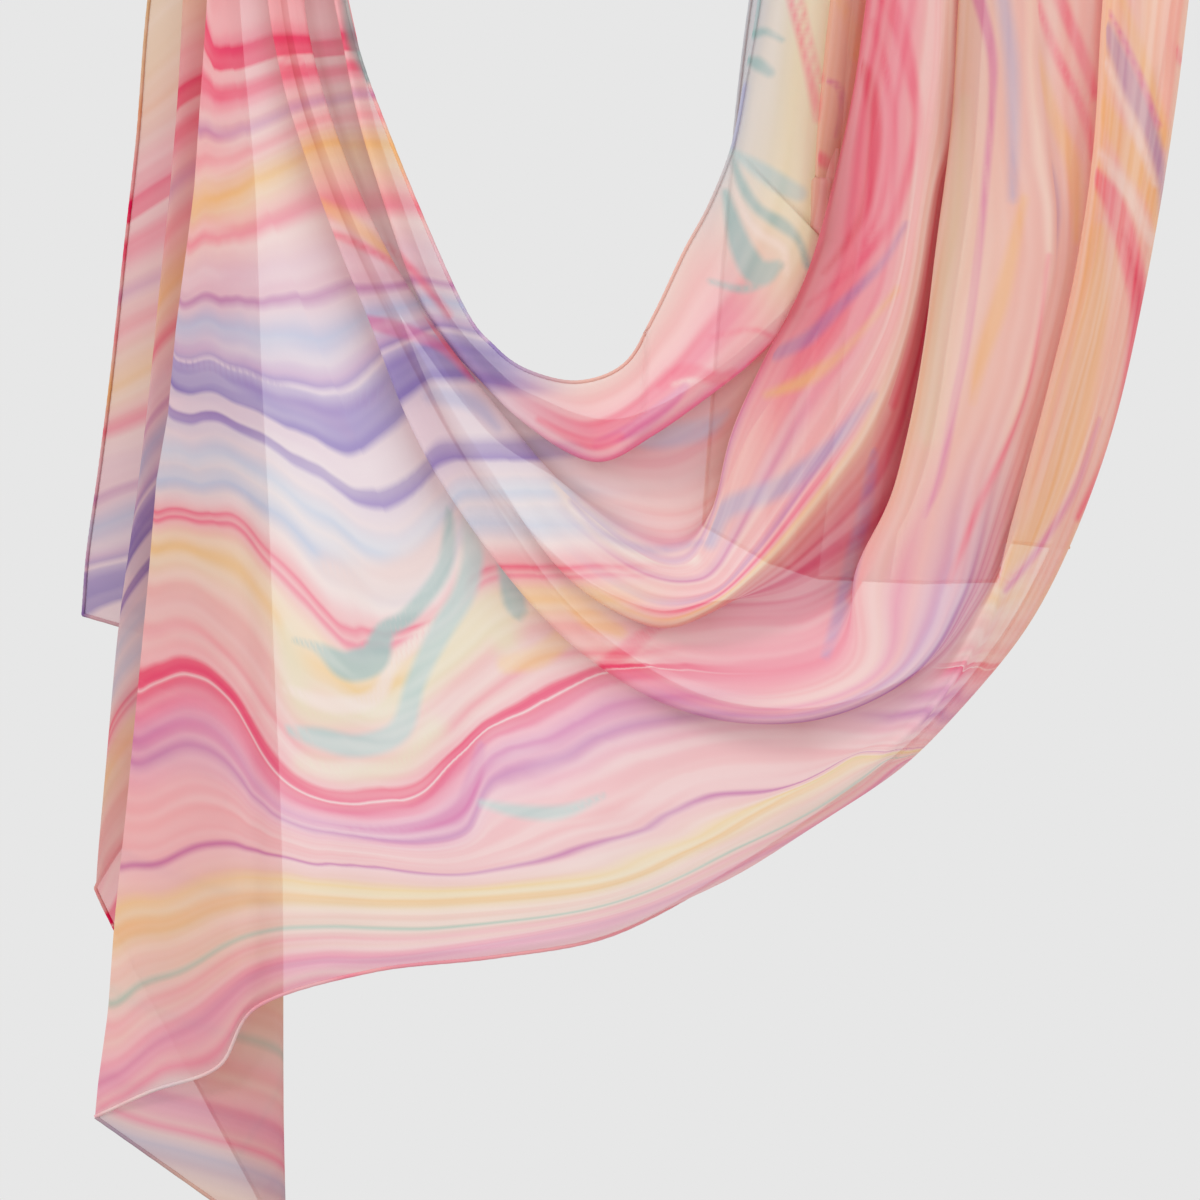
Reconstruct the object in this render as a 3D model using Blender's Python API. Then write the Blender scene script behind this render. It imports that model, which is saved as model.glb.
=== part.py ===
"""Chiffon scarf, 0.70 x 1.80 m, hanging in a swag between two holds.

The scarf is one rectangle of printed chiffon with a narrow rolled hem. Its upper long edge is
gathered into a fan of pleats at the left hold, the middle hangs in cowls, and the right end is
thrown over a round support at the right hold and falls down behind it. It is modelled as three
stretches of the same cloth: the tail left of the left hold, the swag, and the fall behind.

Frame: +X to the right, -Y to the front, +Z up. The origin is the point midway between the holds,
at the height where the cloth is held. Shape points are in millimetres.
"""
import bpy
import numpy as np

MM = 0.001
WALL = 1.2            # thickness of the cloth wall
HEM_WALL = 2.0        # thickness of the rolled hem along the free edges
STRETCH_GAP = 1.0     # gap between two stretches of the cloth
FOLD_GAP = 2.4        # depth of the tight fold where the front panel turns into the tail
FOLD_REACH = 26.0     # how far a fold's rounding reaches into the panels beside it

SUPPORT_RADIUS = 18.0     # the round support that the right end lies over
SUPPORT_LEVEL = -40.0     # height of the support's axis, where the swag meets the fall
SUPPORT_FRONT = 4.0       # front of the support, as a depth
# The hem of the fall, as (x, z): its right half hangs a little higher.
FALL_HEM = [(52, -414), (93, -437), (125, -447), (190, -450), (235, -449), (241, -424), (276, -428)]
FALL_LEFT = 52.0          # left edge of the fall at its hem
FALL_SPREAD = 0.87        # width of the fall at its hem, as a share of its width at the top

# The folds of the swag, from the neckline to the lower hem. Each runs from the left hold, or from
# the fold at the front panel's left side, down through the swag and up to the right hold.
# across: (x, z) of its fifteen points. depth: y at every second point. steps: mesh rows to the next fold.
SWAG_FOLDS = [
    dict(name="neckline", steps=3,
         across=[(-184, 0), (-166, -103), (-143, -172), (-99, -275), (-77, -305), (-55, -320),
                 (-25, -326), (3, -315), (21, -285), (39, -247), (55, -217), (69, -181),
                 (77, -140), (84, -101), (93, -40)],
         depth=[-6, -10, -16, -22, -26, -20, -12, -6]),
    dict(name="inner roll", steps=2,
         across=[(-192, 0), (-173, -106), (-156, -184), (-122, -276), (-83, -328), (-55, -354),
                 (-15, -375), (18, -360), (52, -336), (83, -310), (106, -284), (126, -239),
                 (136, -178), (141, -120), (149, -40)],
         depth=[-10, -20, -36, -46, -46, -32, -12, -4]),
    dict(name="behind the inner roll", steps=2,
         across=[(-187, 0), (-165, -106), (-147, -182), (-112, -273), (-74, -322), (-46, -338),
                 (-9, -350), (21, -343), (54, -323), (86, -297), (112, -268), (118, -228),
                 (120, -181), (126, -123), (136, -40)],
         depth=[2, -4, -12, -18, -20, -18, -22, -12]),
    dict(name="back of the bowl", steps=2,
         across=[(-211, 0), (-204, -104), (-179, -188), (-138, -279), (-84, -353), (-38, -383),
                 (3, -399), (39, -403), (63, -387), (81, -355), (104, -321), (131, -273),
                 (149, -203), (166, -123), (175, -40)],
         depth=[1, -6, -14, -18, -20, -16, -8, 1]),
    dict(name="bowl rim", steps=2,
         across=[(-201, 0), (-193, -104), (-168, -188), (-126, -275), (-74, -343), (-36, -391),
                 (7, -427), (38, -436), (55, -410), (68, -362), (87, -319), (112, -268),
                 (129, -209), (146, -135), (158, -40)],
         depth=[-12, -24, -40, -46, -52, -46, -32, -16]),
    dict(name="cowl crest", steps=2,
         across=[(-206, 0), (-198, -106), (-173, -190), (-132, -278), (-81, -357), (-37, -414),
                 (14, -451), (53, -453), (77, -429), (104, -391), (131, -348), (161, -290),
                 (179, -215), (187, -123), (194, -40)],
         depth=[-14, -27, -48, -64, -68, -56, -38, -18]),
    dict(name="cowl edge", steps=2,
         across=[(-211, 0), (-202, -107), (-178, -190), (-138, -280), (-87, -367), (-36, -441),
                 (15, -474), (52, -468), (91, -437), (125, -397), (155, -352), (177, -292),
                 (192, -212), (203, -157), (206, -40)],
         depth=[-14, -28, -52, -74, -76, -58, -38, -18]),
    dict(name="pleat back", steps=2,
         across=[(-214, 0), (-205, -107), (-182, -191), (-142, -281), (-92, -372), (-33, -438),
                 (18, -467), (56, -464), (111, -460), (162, -427), (185, -381), (200, -304),
                 (212, -224), (222, -138), (226, -40)],
         depth=[-13, -28, -52, -54, -46, -30, -16, 0]),
    dict(name="pleat edge", steps=2,
         across=[(-219, 0), (-208, -108), (-186, -192), (-148, -282), (-97, -378), (-36, -462),
                 (29, -505), (89, -518), (140, -499), (144, -445), (168, -391), (185, -304),
                 (197, -218), (206, -135), (212, -40)],
         depth=[-12, -27, -54, -74, -76, -60, -44, -20]),
    dict(name="swag edge", steps=2,
         across=[(-225, 0), (-214, -111), (-192, -192), (-157, -282), (-111, -387), (-39, -478),
                 (37, -527), (111, -535), (174, -508), (208, -458), (231, -382), (253, -308),
                 (263, -228), (251, -129), (249, -40)],
         depth=[-10, -25, -54, -80, -78, -66, -50, -18]),
    dict(name="behind the swag edge", steps=2,
         across=[(-214, 0), (-201, -109), (-177, -188), (-140, -275), (-92, -379), (-25, -468),
                 (45, -517), (114, -527), (179, -505), (217, -463), (247, -399), (274, -313),
                 (293, -233), (302, -129), (305, -40)],
         depth=[-4, -14, -36, -60, -70, -54, -36, -6]),
    dict(name="right pleat edge", steps=2,
         across=[(-254, 0), (-233, -160), (-196, -276), (-166, -350), (-120, -454), (-49, -519),
                 (34, -564), (114, -564), (185, -526), (223, -468), (238, -418), (262, -330),
                 (282, -246), (295, -129), (300, -40)],
         depth=[-3, -18, -36, -56, -68, -64, -56, -20]),
    dict(name="front panel", steps=3,
         across=[(-279, -346), (-251, -411), (-220, -460), (-190, -510), (-135, -583), (-64, -605),
                 (15, -615), (91, -600), (158, -562), (210, -511), (247, -445), (279, -356),
                 (302, -261), (319, -141), (327, -40)],
         depth=[-4, -20, -34, -52, -60, -60, -52, -18]),
    dict(name="outline", steps=1,
         across=[(-321, -771), (-287, -752), (-247, -735), (-220, -701), (-152, -680), (-80, -674),
                 (-9, -662), (61, -634), (131, -591), (192, -545), (254, -468), (294, -379),
                 (321, -273), (341, -157), (356, -40)],
         depth=[-4, -18, -26, -40, -44, -46, -40, -16]),
    dict(name="lower hem", steps=0,
         across=[(-322, -780), (-289, -764), (-247, -748), (-223, -711), (-152, -689), (-76, -680),
                 (-5, -666), (64, -629), (133, -583), (190, -537), (244, -468), (282, -384),
                 (308, -279), (330, -157), (348, -40)],
         depth=[-3, -15, -22, -34, -34, -34, -28, -6]),
]
FOLD_A_FIRST = 11     # the first swag fold that starts on the front panel's left fold
# The front panel's left fold, as (x, z), from the left hold down to the lower hem.
LEFT_FOLD = [(-254, 0), (-255, -92), (-263, -209), (-274, -292), (-279, -346), (-286, -386), (-291, -446),
             (-296, -499), (-304, -583), (-312, -659), (-316, -715), (-322, -758), (-324, -779)]
LEFT_FOLD_REACH = 0.12    # share of the swag's columns that move with the fold

# The folds of the tail behind the front panel, from right to left to right. points: (x, y, z).
TAIL_FOLDS = [
    dict(name="right fold", steps=4,
         points=[(-239, 3, 0), (-233, 6, -111), (-227, 8, -203), (-222, 9, -307),
                 (-217, 7, -411), (-212, 5, -546), (-208, 3, -669), (-206, 1, -863)]),
    dict(name="left fold", steps=4,
         points=[(-266, 8, 0), (-271, 12, -111), (-279, 18, -203), (-290, 22, -307),
                 (-301, 24, -405), (-313, 24, -497), (-321, 22, -583), (-325, 20, -640)]),
    dict(name="back fold", steps=4,
         points=[(-242, 13, 0), (-242, 19, -92), (-242, 27, -166), (-241, 33, -239),
                 (-238, 37, -313), (-236, 40, -381), (-233, 40, -442), (-233, 40, -500)]),
    dict(name="tail hem", steps=0,
         points=[(-280, 18, 0), (-293, 24, -92), (-300, 33, -172), (-308, 41, -239),
                 (-317, 47, -319), (-325, 49, -381), (-332, 49, -430), (-335, 47, -470)]),
]

SWAG_COLUMNS = 34
TAIL_ROWS = 17
FIRST_TAIL_STEPS = 4      # mesh rows from the front panel's left fold to the tail's first fold
FALL_TURN_STEPS = 5       # mesh rows over the support
FALL_DROP_STEPS = 6       # mesh rows down the back


def clear_scene():
    for item in list(bpy.data.objects):
        bpy.data.objects.remove(item, do_unlink=True)


def fabric(name, color, roughness):
    material = bpy.data.materials.new(name)
    material.use_nodes = True
    shader = material.node_tree.nodes["Principled BSDF"]
    shader.inputs["Base Color"].default_value = (*color, 1.0)
    shader.inputs["Roughness"].default_value = roughness
    shader.inputs["Metallic"].default_value = 0.0
    return material


def smooth_through(points, positions):
    """Point on the Catmull-Rom curve through points, at each position from 0 to 1."""
    points = np.asarray(points, float)
    padded = np.vstack([2 * points[0] - points[1], points, 2 * points[-1] - points[-2]])
    place = np.clip(np.asarray(positions, float), 0, 1) * (len(points) - 1)
    first = np.minimum(place.astype(int), len(points) - 2)
    f = (place - first)[:, None]
    a, b, c, d = (padded[first + offset] for offset in range(4))
    return 0.5 * (2 * b + (c - a) * f + (2 * a - 5 * b + 4 * c - d) * f ** 2
                  + (3 * b - a - 3 * c + d) * f ** 3)


def directions(spans):
    return spans / np.maximum(np.linalg.norm(spans, axis=-1, keepdims=True), 1e-6)


def across_the_fold(spans, folds):
    """Direction of each span, seen along the fold that it meets."""
    return directions(spans - np.sum(spans * folds, axis=-1, keepdims=True) * folds)


def rounded_section(corners, steps):
    """Rows of points across the folds.

    corners has one row of points for each fold. Between two folds the cloth is a cubic whose ends
    follow the line that halves the turn, so a panel stays flat and a fold gets a round edge.
    """
    spans = np.diff(corners, axis=0)
    lengths = np.linalg.norm(spans, axis=-1, keepdims=True)
    folds = directions(np.gradient(corners, axis=1))
    before = across_the_fold(spans[:-1], folds[1:-1])
    after = across_the_fold(spans[1:], folds[1:-1])
    along = directions(spans)
    ends = np.ones_like(lengths[:1])
    flow = ((1 + np.sum(along[:-1] * along[1:], axis=-1, keepdims=True)) / 2) ** 2
    turned = directions(flow * directions(along[:-1] + along[1:]) + (1 - flow) * directions(before + after))
    tangent = np.concatenate([along[:1], turned, along[-1:]])
    straight = np.concatenate([ends, (1 + np.sum(before * after, axis=-1, keepdims=True)) / 2, ends])
    rows = []
    for index, count in enumerate(steps):
        length = lengths[index]
        reach = [np.minimum(length, FOLD_REACH) * (1 - straight[side])
                 + np.minimum(length, 1.5 * neighbour) * straight[side]
                 for side, neighbour in ((index, lengths[max(index - 1, 0)]),
                                         (index + 1, lengths[min(index + 1, len(lengths) - 1)]))]
        for f in (1 - np.cos(np.pi * np.arange(count) / count)) / 2:
            rows.append((2 * f ** 3 - 3 * f ** 2 + 1) * corners[index]
                        + (3 * f ** 2 - 2 * f ** 3) * corners[index + 1]
                        + (f ** 3 - 2 * f ** 2 + f) * reach[0] * tangent[index]
                        + (f ** 3 - f ** 2) * reach[1] * tangent[index + 1])
    rows.append(corners[-1])
    return np.array(rows)


def fold_line(fold, positions):
    """Points along one swag fold."""
    flat = smooth_through(fold["across"], positions)
    depth = smooth_through(np.array(fold["depth"])[:, None], positions)
    return np.column_stack([flat[:, 0], depth[:, 0], flat[:, 1]])


def pin_left_fold(grid, first_row):
    """Bring the front panel's left edge on to its measured fold."""
    fold_x, fold_z = np.transpose(LEFT_FOLD)
    panel = grid[first_row:]
    shift = np.interp(-panel[:, :1, 2], -fold_z, fold_x) - panel[:, :1, 0]
    column = np.linspace(0, 1, grid.shape[1])[None, :]
    panel[..., 0] += shift * np.clip(1 - column / LEFT_FOLD_REACH, 0, 1) ** 2
    return grid


def swag_grid():
    """From the left hold to the right one, row by row from the neckline to the lower hem."""
    positions = np.linspace(0, 1, SWAG_COLUMNS)
    corners = np.array([fold_line(fold, positions) for fold in SWAG_FOLDS])
    steps = [fold["steps"] for fold in SWAG_FOLDS[:-1]]
    return pin_left_fold(rounded_section(corners, steps), sum(steps[:FOLD_A_FIRST]))


def resample(line, count):
    """count points at even distances along a line."""
    distance = np.concatenate([[0], np.cumsum(np.linalg.norm(np.diff(line, axis=0), axis=1))])
    places = np.linspace(0, distance[-1], count)
    return np.column_stack([np.interp(places, distance, line[:, axis]) for axis in range(3)])


def tail_grid(swag):
    """Zigzag behind the front panel; its first line is the swag's own left fold."""
    first_row = sum(fold["steps"] for fold in SWAG_FOLDS[:FOLD_A_FIRST])
    positions = np.linspace(0, 1, TAIL_ROWS)
    lines = [resample(swag[first_row:, 0], TAIL_ROWS) + [0, FOLD_GAP, 0]]
    lines += [smooth_through(fold["points"], positions) for fold in TAIL_FOLDS]
    steps = [FIRST_TAIL_STEPS] + [fold["steps"] for fold in TAIL_FOLDS[:-1]]
    return rounded_section(np.array(lines), steps)


def fall_grid(swag):
    """Over the support and down the back, keeping the pleats of the swag's right end."""
    top = swag[:, -1]
    left = top[0, 0]
    offset = (SUPPORT_FRONT - top[:, 1])[:, None]
    axis_depth = SUPPORT_FRONT + SUPPORT_RADIUS
    turn = np.linspace(0, np.pi, FALL_TURN_STEPS + 1)[None, :]
    over_y = axis_depth - (SUPPORT_RADIUS + offset) * np.cos(turn)
    over_z = SUPPORT_LEVEL + (SUPPORT_RADIUS + offset) * np.sin(turn)
    drop = np.linspace(0, 1, FALL_DROP_STEPS + 1)[None, 1:]
    down_y = axis_depth + SUPPORT_RADIUS + offset * (1 + 0.6 * drop)
    hem_x = FALL_LEFT + (top[:, :1] - left) * FALL_SPREAD
    bottom = np.interp(hem_x, *np.transpose(FALL_HEM))
    down_z = SUPPORT_LEVEL + (bottom - SUPPORT_LEVEL) * drop
    lean = 0.6 + (top[:, :1] - left) / (top[-1, 0] - left)
    turn_x = np.repeat(top[:, :1], FALL_TURN_STEPS + 1, axis=1)
    down_x = top[:, :1] + (hem_x - top[:, :1]) * drop ** lean
    return np.stack([np.hstack([turn_x, down_x]), np.hstack([over_y, down_y]),
                     np.hstack([over_z, down_z])], axis=-1)


def pull_back(grid, distance):
    """Shorten a grid at its first column, so that it keeps its gap to the stretch that it continues."""
    shortened = grid.copy()
    along = grid[:, 1] - grid[:, 0]
    shortened[:, 0] += along * distance / np.linalg.norm(along, axis=-1, keepdims=True)
    return shortened


def cloth_wall(name, grid, free_edges, material):
    """One closed wall around a grid of points; free_edges name the grid's hemmed sides."""
    rows, columns = grid.shape[:2]
    normal = directions(np.cross(np.gradient(grid, axis=0), np.gradient(grid, axis=1)))
    half = np.full((rows, columns, 1), WALL / 2)
    for side in free_edges:
        half[{"first row": (0,), "last row": (-1,), "first column": (slice(None), 0),
              "last column": (slice(None), -1)}[side]] = HEM_WALL / 2
    front = (grid + normal * half).reshape(-1, 3)
    back = (grid - normal * half).reshape(-1, 3)
    count = rows * columns

    def quad(a, b, c, d):
        return [(a, b, c), (a, c, d)]

    faces = []
    for row in range(rows - 1):
        for column in range(columns - 1):
            a = row * columns + column
            b, c, d = a + columns, a + columns + 1, a + 1
            faces += quad(a, b, c, d)
            faces += quad(a + count, d + count, c + count, b + count)
    rim = list(range(columns))
    rim += [row * columns + columns - 1 for row in range(1, rows)]
    rim += [(rows - 1) * columns + column for column in range(columns - 2, -1, -1)]
    rim += [row * columns for row in range(rows - 2, 0, -1)]
    for a, b in zip(rim, rim[1:] + rim[:1]):
        faces += quad(a, b, b + count, a + count)
    mesh = bpy.data.meshes.new(name)
    mesh.from_pydata((np.vstack([front, back]) * MM).tolist(), [], faces)
    mesh.validate()
    mesh.shade_smooth()
    mesh.materials.append(material)
    cloth = bpy.data.objects.new(name, mesh)
    bpy.context.collection.objects.link(cloth)
    return cloth


def build():
    clear_scene()
    chiffon = fabric("printed chiffon", (0.90, 0.62, 0.60), 0.75)
    swag = swag_grid()
    tail = tail_grid(swag)
    fall = pull_back(fall_grid(swag), STRETCH_GAP)
    cloth_wall("swag", swag, ["first row", "last row"], chiffon)
    cloth_wall("tail", tail, ["last row", "last column"], chiffon)
    cloth_wall("fall", fall, ["first row", "last row", "last column"], chiffon)


build()
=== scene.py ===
"""Looks of the chiffon scarf: sheer printed cloth, rolled hems, light, floor and camera.

The cloth is one 0.70 x 1.80 m rectangle, built as three stretches that share their edges: the tail,
the swag and the fall. Each stretch is a fine grid over the same folds as its CAD solid. Every point
carries its place in the print, and a painted shade, as attributes, and the material turns them into the
marbled stripes, darkened by that painted shade beside the folds and behind the front panel.
"""
import math

import bpy
import numpy as np
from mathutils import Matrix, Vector, noise


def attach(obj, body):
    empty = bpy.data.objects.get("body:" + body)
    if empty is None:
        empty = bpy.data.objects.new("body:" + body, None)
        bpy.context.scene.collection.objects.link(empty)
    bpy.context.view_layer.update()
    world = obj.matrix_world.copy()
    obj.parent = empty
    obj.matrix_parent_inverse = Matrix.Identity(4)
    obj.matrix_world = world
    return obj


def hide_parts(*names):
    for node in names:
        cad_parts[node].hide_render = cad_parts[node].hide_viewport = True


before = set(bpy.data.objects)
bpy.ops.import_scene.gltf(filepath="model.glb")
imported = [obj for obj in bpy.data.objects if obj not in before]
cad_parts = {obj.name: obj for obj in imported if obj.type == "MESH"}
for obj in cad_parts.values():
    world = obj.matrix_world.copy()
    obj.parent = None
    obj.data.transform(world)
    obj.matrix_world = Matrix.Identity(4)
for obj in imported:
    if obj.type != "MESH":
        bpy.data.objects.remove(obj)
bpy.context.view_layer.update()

MM = 0.001
FOLD_REACH = 26.0         # how far a fold's rounding reaches into the panels beside it, mm
SUPPORT_RADIUS = 18.0     # the round support that the right end lies over, mm
SUPPORT_LEVEL = -40.0     # height of its axis, where the swag meets the fall, mm
SUPPORT_FRONT = 4.0       # front of the support, as a depth, mm
# The hem of the fall, as (x, z) in mm: its right half hangs a little higher.
FALL_HEM = [(52, -414), (93, -437), (125, -447), (190, -450), (235, -449), (241, -424), (276, -428)]
FALL_LEFT = 52.0          # left edge of the fall at its hem, mm
FALL_SPREAD = 0.87        # width of the fall at its hem, as a share of its width at the top
# The folds of the swag, from the neckline to the lower hem. Each runs from the left hold, or from
# the fold at the front panel's left side, down through the swag and up to the right hold.
# across: (x, z) of its fifteen points. depth: y at every second point. steps: mesh rows to the next fold.
SWAG_FOLDS = [
    dict(name="neckline", steps=32,
         across=[(-184, 0), (-166, -103), (-143, -172), (-99, -275), (-77, -305), (-55, -320),
            (-25, -326), (3, -315), (21, -285), (39, -247), (55, -217), (69, -181),
            (77, -140), (84, -101), (93, -40)],
         depth=[-6, -10, -16, -22, -26, -20, -12, -6]),
    dict(name="inner roll", steps=9,
         across=[(-192, 0), (-173, -106), (-156, -184), (-122, -276), (-83, -328), (-55, -354),
            (-15, -375), (18, -360), (52, -336), (83, -310), (106, -284), (126, -239),
            (136, -178), (141, -120), (149, -40)],
         depth=[-10, -20, -36, -46, -46, -32, -12, -4]),
    dict(name="behind the inner roll", steps=14,
         across=[(-187, 0), (-165, -106), (-147, -182), (-112, -273), (-74, -322), (-46, -338),
            (-9, -350), (21, -343), (54, -323), (86, -297), (112, -268), (118, -228),
            (120, -181), (126, -123), (136, -40)],
         depth=[2, -4, -12, -18, -20, -18, -22, -12]),
    dict(name="back of the bowl", steps=10,
         across=[(-211, 0), (-204, -104), (-179, -188), (-138, -279), (-84, -353), (-38, -383),
            (3, -399), (39, -403), (63, -387), (81, -355), (104, -321), (131, -273),
            (149, -203), (166, -123), (175, -40)],
         depth=[1, -6, -14, -18, -20, -16, -8, 1]),
    dict(name="bowl rim", steps=30,
         across=[(-201, 0), (-193, -104), (-168, -188), (-126, -275), (-74, -343), (-36, -391),
            (7, -427), (38, -436), (55, -410), (68, -362), (87, -319), (112, -268),
            (129, -209), (146, -135), (158, -40)],
         depth=[-12, -24, -40, -46, -52, -46, -32, -16]),
    dict(name="cowl crest", steps=12,
         across=[(-206, 0), (-198, -106), (-173, -190), (-132, -278), (-81, -357), (-37, -414),
            (14, -451), (53, -453), (77, -429), (104, -391), (131, -348), (161, -290),
            (179, -215), (187, -123), (194, -40)],
         depth=[-14, -27, -48, -64, -68, -56, -38, -18]),
    dict(name="cowl edge", steps=12,
         across=[(-211, 0), (-202, -107), (-178, -190), (-138, -280), (-87, -367), (-36, -441),
            (15, -474), (52, -468), (91, -437), (125, -397), (155, -352), (177, -292),
            (192, -212), (203, -157), (206, -40)],
         depth=[-14, -28, -52, -74, -76, -58, -38, -18]),
    dict(name="pleat back", steps=12,
         across=[(-214, 0), (-205, -107), (-182, -191), (-142, -281), (-92, -372), (-33, -438),
            (18, -467), (56, -464), (111, -460), (162, -427), (185, -381), (200, -304),
            (212, -224), (222, -138), (226, -40)],
         depth=[-13, -28, -52, -54, -46, -30, -16, 0]),
    dict(name="pleat edge", steps=30,
         across=[(-219, 0), (-208, -108), (-186, -192), (-148, -282), (-97, -378), (-36, -462),
            (29, -505), (89, -518), (140, -499), (144, -445), (168, -391), (185, -304),
            (197, -218), (206, -135), (212, -40)],
         depth=[-12, -27, -54, -74, -76, -60, -44, -20]),
    dict(name="swag edge", steps=30,
         across=[(-225, 0), (-214, -111), (-192, -192), (-157, -282), (-111, -387), (-39, -478),
            (37, -527), (111, -535), (174, -508), (208, -458), (231, -382), (253, -308),
            (263, -228), (251, -129), (249, -40)],
         depth=[-10, -25, -54, -80, -78, -66, -50, -18]),
    dict(name="behind the swag edge", steps=14,
         across=[(-214, 0), (-201, -109), (-177, -188), (-140, -275), (-92, -379), (-25, -468),
            (45, -517), (114, -527), (179, -505), (217, -463), (247, -399), (274, -313),
            (293, -233), (302, -129), (305, -40)],
         depth=[-4, -14, -36, -60, -70, -54, -36, -6]),
    dict(name="right pleat edge", steps=40,
         across=[(-254, 0), (-233, -160), (-196, -276), (-166, -350), (-120, -454), (-49, -519),
            (34, -564), (114, -564), (185, -526), (223, -468), (238, -418), (262, -330),
            (282, -246), (295, -129), (300, -40)],
         depth=[-3, -18, -36, -56, -68, -64, -56, -20]),
    dict(name="front panel", steps=42,
         across=[(-279, -346), (-251, -411), (-220, -460), (-190, -510), (-135, -583), (-64, -605),
            (15, -615), (91, -600), (158, -562), (210, -511), (247, -445), (279, -356),
            (302, -261), (319, -141), (327, -40)],
         depth=[-4, -20, -34, -52, -60, -60, -52, -18]),
    dict(name="outline", steps=14,
         across=[(-321, -771), (-287, -752), (-247, -735), (-220, -701), (-152, -680), (-80, -674),
            (-9, -662), (61, -634), (131, -591), (192, -545), (254, -468), (294, -379),
            (321, -273), (341, -157), (356, -40)],
         depth=[-4, -18, -26, -40, -44, -46, -40, -16]),
    dict(name="lower hem", steps=0,
         across=[(-322, -780), (-289, -764), (-247, -748), (-223, -711), (-152, -689), (-76, -680),
            (-5, -666), (64, -629), (133, -583), (190, -537), (244, -468), (282, -384),
            (308, -279), (330, -157), (348, -40)],
         depth=[-3, -15, -22, -34, -34, -34, -28, -6]),
]
FOLD_A_FIRST = 11     # the first swag fold that starts on the front panel's left fold
# The front panel's left fold, as (x, z), from the left hold down to the lower hem.
LEFT_FOLD = [(-254, 0), (-255, -92), (-263, -209), (-274, -292), (-279, -346), (-286, -386), (-291, -446),
             (-296, -499), (-304, -583), (-312, -659), (-316, -715), (-322, -758), (-324, -779)]
LEFT_FOLD_REACH = 0.12    # share of the swag's columns that move with the fold

# The folds of the tail behind the front panel, from right to left to right. points: (x, y, z).
TAIL_FOLDS = [
    dict(name="right fold", steps=40,
         points=[(-239, 3, 0), (-233, 6, -111), (-227, 8, -203), (-222, 9, -307),
            (-217, 7, -411), (-212, 5, -546), (-208, 3, -669), (-206, 1, -863)]),
    dict(name="left fold", steps=34,
         points=[(-266, 8, 0), (-271, 12, -111), (-279, 18, -203), (-290, 22, -307),
            (-301, 24, -405), (-313, 24, -497), (-321, 22, -583), (-325, 20, -640)]),
    dict(name="back fold", steps=28,
         points=[(-242, 13, 0), (-242, 19, -92), (-242, 27, -166), (-241, 33, -239),
            (-238, 37, -313), (-236, 40, -381), (-233, 40, -442), (-233, 40, -500)]),
    dict(name="tail hem", steps=0,
         points=[(-280, 18, 0), (-293, 24, -92), (-300, 33, -172), (-308, 41, -239),
            (-317, 47, -319), (-325, 49, -381), (-332, 49, -430), (-335, 47, -470)]),
]

SWAG_COLUMNS = 330
TAIL_COLUMNS = 200
FALL_TURN_STEPS = 24
FALL_DROP_STEPS = 100
FIRST_TAIL_STEPS = 34
HEM_RADIUS = 1.15         # rolled hem, mm
HEM_SIDES = 8


# ---------------------------------------------------------------- shape

def smooth_through(points, positions):
    """Point on the Catmull-Rom curve through points, at each position from 0 to 1."""
    points = np.asarray(points, float)
    padded = np.vstack([2 * points[0] - points[1], points, 2 * points[-1] - points[-2]])
    place = np.clip(np.asarray(positions, float), 0, 1) * (len(points) - 1)
    first = np.minimum(place.astype(int), len(points) - 2)
    f = (place - first)[:, None]
    a, b, c, d = (padded[first + offset] for offset in range(4))
    return 0.5 * (2 * b + (c - a) * f + (2 * a - 5 * b + 4 * c - d) * f ** 2
                  + (3 * b - a - 3 * c + d) * f ** 3)


def directions(spans):
    return spans / np.maximum(np.linalg.norm(spans, axis=-1, keepdims=True), 1e-6)


def across_the_fold(spans, folds):
    """Direction of each span, seen along the fold that it meets."""
    return directions(spans - np.sum(spans * folds, axis=-1, keepdims=True) * folds)


def rounded_section(corners, steps):
    """Rows of points across the folds, and each row's lane: 0 at the first fold, 1 at the next.

    Between two folds the cloth is a cubic whose ends follow the line that halves the turn, so a
    panel stays flat and a fold gets a round edge.
    """
    spans = np.diff(corners, axis=0)
    lengths = np.linalg.norm(spans, axis=-1, keepdims=True)
    folds = directions(np.gradient(corners, axis=1))
    before = across_the_fold(spans[:-1], folds[1:-1])
    after = across_the_fold(spans[1:], folds[1:-1])
    along = directions(spans)
    ends = np.ones_like(lengths[:1])
    flow = ((1 + np.sum(along[:-1] * along[1:], axis=-1, keepdims=True)) / 2) ** 2
    turned = directions(flow * directions(along[:-1] + along[1:]) + (1 - flow) * directions(before + after))
    tangent = np.concatenate([along[:1], turned, along[-1:]])
    straight = np.concatenate([ends, (1 + np.sum(before * after, axis=-1, keepdims=True)) / 2, ends])
    rows, lanes = [], []
    for index, count in enumerate(steps):
        length = lengths[index]
        reach = [np.minimum(length, FOLD_REACH) * (1 - straight[side])
                 + np.minimum(length, 1.5 * neighbour) * straight[side]
                 for side, neighbour in ((index, lengths[max(index - 1, 0)]),
                                         (index + 1, lengths[min(index + 1, len(lengths) - 1)]))]
        even = np.arange(count) / count
        for f in 0.4 * even + 0.6 * (1 - np.cos(np.pi * even)) / 2:
            rows.append((2 * f ** 3 - 3 * f ** 2 + 1) * corners[index]
                        + (3 * f ** 2 - 2 * f ** 3) * corners[index + 1]
                        + (f ** 3 - 2 * f ** 2 + f) * reach[0] * tangent[index]
                        + (f ** 3 - f ** 2) * reach[1] * tangent[index + 1])
            lanes.append(index + f)
    rows.append(corners[-1])
    lanes.append(len(steps))
    return np.array(rows), np.array(lanes)


def fold_line(fold, positions):
    """Points along one swag fold."""
    flat = smooth_through(fold["across"], positions)
    depth = smooth_through(np.array(fold["depth"])[:, None], positions)
    return np.column_stack([flat[:, 0], depth[:, 0], flat[:, 1]])


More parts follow.
